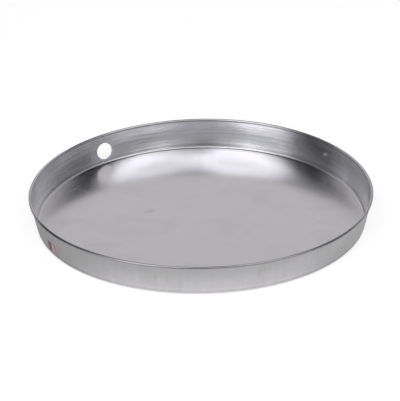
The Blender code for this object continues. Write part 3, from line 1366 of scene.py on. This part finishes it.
@dataclass
class Studio:
    """White sweep, a tent of soft light round the pan and a white world beyond it."""

    turn: float                              # bearing of the camera's frame about +Z
    world_fill: float = 0.8                  # light from beyond the tent, which falls on the far floor
    floor_half: float = 30.0
    floor_steps: int = 8
    floor_colour: Colour = (0.60, 0.60, 0.60)
    floor_lift: float = 0.70                 # what brings the lit floor up to white
    floor_in_metal: Span = (0.06, 0.17)      # at the pan's left and from its middle rightwards
    metal_side: Span = (-0.34, -0.08)        # from how far left of the middle to where that changes
    floor_by_wall: float = 0.14              # what the floor gains in front of the pan
    wall_reach: Span = (0.325, 0.385)        # distance from the axis over which that ends
    floor_by_foot: float = 0.22              # and close to the pan's foot, where its own shadow falls
    foot_reach: Span = (0.316, 0.332)
    front_reach: Span = (0.18, 0.32)         # how far in front of the axis both begin
    tent_radius: float = 2.5
    tent_steps: int = 72
    tent_rings: int = 18
    backdrop: float = 0.60
    backdrop_side: Span = (0.10, 0.90)       # how far behind the pan the backdrop fades in
    backdrop_top: Span = (0.70, 0.75)        # height over which it ends
    key: SoftGlow = SoftGlow(42.0, 55.0, 38.0, 30.0, 0.40, 1.35)     # two of these, left and right
    key_turn: float = 6.0                    # degrees by which the pair of keys stands to the right
    key_balance: float = 0.12                # share by which the left key is brighter, the right one dimmer
    boxes: tuple[SoftGlow, ...] = (
        SoftGlow(-5.0, 80.0, 75.0, 20.0, 0.20, 0.90),    # overhead
        SoftGlow(-5.0, 15.0, 50.0, 5.0, 0.60, 0.70),     # thin strip under the camera
        SoftGlow(-45.0, 8.0, 40.0, 20.0, 0.00, 2.60),    # low box at the left
        SoftGlow(40.0, 10.0, 40.0, 8.0, 0.00, 2.10),     # low strip at the right
        SoftGlow(-95.0, 30.0, 35.0, 18.0, 0.40, 0.20),   # weak fill from the left
        SoftGlow(85.0, 22.0, 40.0, 18.0, 0.70, 0.45),    # fill from the right
    )
    seam: float = 0.05                       # where the keys part, to the right of the camera's line
    seam_half: float = 0.25
    seam_core: float = 0.2                   # share of its half width that is fully dark
    seam_low: float = 0.20                   # how dark the seam is low down
    seam_low_start: Span = (0.50, 0.60)      # heights over which that begins
    seam_low_end: Span = (0.68, 0.80)        # and ends
    seam_high: float = 0.80                  # and near the top of the tent
    seam_high_start: Span = (0.92, 0.97)
    seam_back: Span = (0.25, 0.45)           # how far behind the pan the seam ends

    @property
    def right(self) -> Vector:
        """Level unit vector to the camera's right."""
        return Vector((math.cos(self.turn), math.sin(self.turn), 0.0))

    @property
    def behind(self) -> Vector:
        """Level unit vector away from the camera."""
        return Vector((-math.sin(self.turn), math.cos(self.turn), 0.0))

    def build_world(self) -> None:
        """White to the camera and in metal, and soft fill for everything else."""
        world = bpy.data.worlds.new("studio_world")
        bpy.context.scene.world = world
        wiring = blank_tree(world)
        path = wiring.node("ShaderNodeLightPath")
        strength = self.world_fill
        for ray in ("Is Camera Ray", "Is Glossy Ray", "Is Transmission Ray"):
            strength = wiring.maths("MAXIMUM", strength, path.outputs[ray])
        background = wiring.node("ShaderNodeBackground")
        wiring.feed(strength, background.inputs["Strength"])
        wiring.show(background.outputs["Background"], "ShaderNodeOutputWorld")

    def build_floor(self) -> bpy.types.Object:
        """Lay the pale floor, which can be seen through from below.

        Returns:
            The floor.
        """
        bm = bmesh.new()
        bmesh.ops.create_grid(
            bm, x_segments=self.floor_steps, y_segments=self.floor_steps, size=self.floor_half)
        bmesh.ops.translate(bm, verts=bm.verts[:], vec=(0.0, 0.0, FLOOR_DROP))
        floor = piece_from("studio_floor", bm)
        material = bpy.data.materials.new("pale_sweep")
        wiring = blank_tree(material)
        paper = wiring.node("ShaderNodeBsdfDiffuse")
        wiring.feed(rgba(self.floor_colour), paper.inputs["Color"])
        glow = wiring.node("ShaderNodeEmission")
        path = wiring.node("ShaderNodeLightPath")
        seen = wiring.maths("MAXIMUM", path.outputs["Is Camera Ray"], path.outputs["Is Transmission Ray"])
        in_metal = wiring.times(path.outputs["Is Glossy Ray"], self.metal_share(wiring))
        strength = wiring.maths("MAXIMUM", wiring.times(seen, self.floor_lift), in_metal)
        wiring.feed(strength, glow.inputs["Strength"])
        lit = wiring.node("ShaderNodeAddShader")
        wiring.feed(paper.outputs["BSDF"], lit.inputs[0])
        wiring.feed(glow.outputs["Emission"], lit.inputs[1])
        sides = wiring.node("ShaderNodeMixShader")
        wiring.feed(wiring.node("ShaderNodeNewGeometry").outputs["Backfacing"], sides.inputs[0])
        wiring.feed(lit.outputs["Shader"], sides.inputs[1])
        wiring.feed(wiring.node("ShaderNodeBsdfTransparent").outputs["BSDF"], sides.inputs[2])
        wiring.show(sides.outputs["Shader"])
        floor.data.materials.append(material)
        return floor

    def metal_share(self, wiring: Wiring) -> Socket:
        """Brightness of the floor as metal sees it, which changes over the floor.

        Args:
            wiring: Tree to build in.

        Returns:
            The brightness.
        """
        place = wiring.node("ShaderNodeTexCoord").outputs["Object"]
        level = wiring.spread(wiring.reach(place, self.right), *self.metal_side, *self.floor_in_metal)
        distance = wiring.vector("LENGTH", place)
        near = wiring.plus(
            wiring.fade(distance, *self.wall_reach, self.floor_by_wall),
            wiring.fade(distance, *self.foot_reach, self.floor_by_foot))
        ahead = wiring.spread(wiring.reach(place, -self.behind), *self.front_reach)
        return wiring.plus(level, wiring.times(near, ahead))

    def glow_strength(self, wiring: Wiring, away: Socket, glow: SoftGlow) -> Socket:
        """Brightness that one glow adds in a direction from the pan.

        Args:
            wiring: Tree to build in.
            away: Unit vector from the pan.
            glow: The glow.

        Returns:
            The brightness.
        """
        toward, along, over = glow.axes(self.turn)
        shares = []
        for axis, half in ((along, glow.half_width), (over, glow.half_height)):
            share = wiring.maths("DIVIDE", wiring.reach(away, axis), math.sin(math.radians(half)))
            shares.append(wiring.times(share, share))
        oval = wiring.fade(wiring.maths("SQRT", wiring.plus(*shares)), glow.core, 1.0, glow.strength)
        return wiring.times(oval, wiring.maths("GREATER_THAN", wiring.reach(away, toward), 0.0))

    def seam_share(self, wiring: Wiring, away: Socket) -> Socket:
        """Share of the light left by the dark seam between the two keys, high in front of the pan.

        Args:
            wiring: Tree to build in.
            away: Unit vector from the pan.

        Returns:
            The share.
        """
        aside = wiring.maths("ABSOLUTE", wiring.minus(wiring.reach(away, self.right), self.seam))
        closed = wiring.fade(aside, self.seam_core * self.seam_half, self.seam_half)
        upward = wiring.reach(away, UPWARD)
        low = wiring.times(
            wiring.spread(upward, *self.seam_low_start, 0.0, self.seam_low),
            wiring.fade(upward, *self.seam_low_end))
        depth = wiring.plus(low, wiring.spread(upward, *self.seam_high_start, 0.0, self.seam_high))
        front = wiring.fade(wiring.reach(away, self.behind), *self.seam_back)
        return wiring.minus(1.0, wiring.times(closed, wiring.times(depth, front)))

    def tent_brightness(self, wiring: Wiring) -> Socket:
        """Brightness of the tent by direction: the backdrop and every glow, less the seam.

        Args:
            wiring: Tree to build in.

        Returns:
            The brightness.
        """
        away = wiring.vector("NORMALIZE", wiring.node("ShaderNodeTexCoord").outputs["Object"])
        back = wiring.spread(wiring.reach(away, self.behind), *self.backdrop_side, 0.0, self.backdrop)
        brightness = wiring.times(back, wiring.fade(wiring.reach(away, UPWARD), *self.backdrop_top))
        keys = [
            replace(self.key, aside=self.key_turn + side * self.key.aside,
                    strength=self.key.strength * (1.0 - side * self.key_balance))
            for side in (-1.0, 1.0)
        ]
        for glow in (*keys, *self.boxes):
            brightness = wiring.plus(brightness, self.glow_strength(wiring, away, glow))
        return wiring.times(brightness, self.seam_share(wiring, away))

    def build_tent(self) -> bpy.types.Object:
        """Hang the tent of soft light, which the camera looks through.

        Returns:
            The tent.
        """
        bm = bmesh.new()
        rises = [math.pi / 2.0 * step / self.tent_rings for step in range(self.tent_rings + 1)]
        ribs = [
            bm.verts.new((self.tent_radius * math.cos(rise), 0.0, self.tent_radius * math.sin(rise)))
            for rise in rises
        ]
        for low, high in zip(ribs, ribs[1:]):
            bm.edges.new((low, high))
        turn_once(bm, self.tent_steps)
        tent = piece_from("studio_tent", bm)
        material = bpy.data.materials.new("tent_light")
        wiring = blank_tree(material)
        light = wiring.node("ShaderNodeEmission")
        wiring.feed(self.tent_brightness(wiring), light.inputs["Strength"])
        wiring.show(light.outputs["Emission"])
        tent.data.materials.append(material)
        tent.visible_camera = False
        return tent

    def build(self) -> None:
        """Set up the whole studio and the plain colour handling."""
        bpy.context.scene.view_settings.view_transform = "Standard"
        self.build_world()
        self.build_floor()
        self.build_tent()


@dataclass
class DrainPan:
    """The whole pan: drawn sheet, wire in its rim and label on its wall."""

    section: RolledPanSection
    form: SheetForm
    hole: OutletHole

    def place(self, piece: bpy.types.Object, node: str, slot: Slot, material: bpy.types.Material) -> None:
        """Dress a piece and let it stand for its node of the frame.

        Args:
            piece: The finished piece.
            node: Node it replaces.
            slot: Slot of the record that its finish comes from; not used.
            material: Its finish.
        """
        piece.data.materials.append(material)
        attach(piece, BODY)
        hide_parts(node)
        log.info("%s: %d faces, finish %s", piece.name, len(piece.data.polygons), material.name)

    def build(self, effects: Effects) -> None:
        """Build and dress every piece.

        Args:
            effects: The shared effects.
        """
        zinc = ZincFinish(self.section, self.hole).material(effects)
        self.place(PanSheet(self.section, self.form, self.hole).build(), "pan_shell", Slot.ZINC, zinc)
        wire = WireFinish().material(effects)
        self.place(RimWire(self.section, self.form).build(), "rim_wire", Slot.WIRE, wire)
        film = LabelFinish().material(effects)
        self.place(WallLabel(self.section, self.form).build(), "label", Slot.LABEL, film)


def main() -> None:
    """Build the pan, its studio and its camera."""
    logging.basicConfig(level=logging.INFO, format="%(message)s")
    section = RolledPanSection.from_frame()
    camera = StudioCamera()
    camera.build()
    DrainPan(section, SheetForm(section), OutletHole()).build(Effects())
    Studio(turn=camera.bearing).build()


if __name__ == "__main__":
    main()
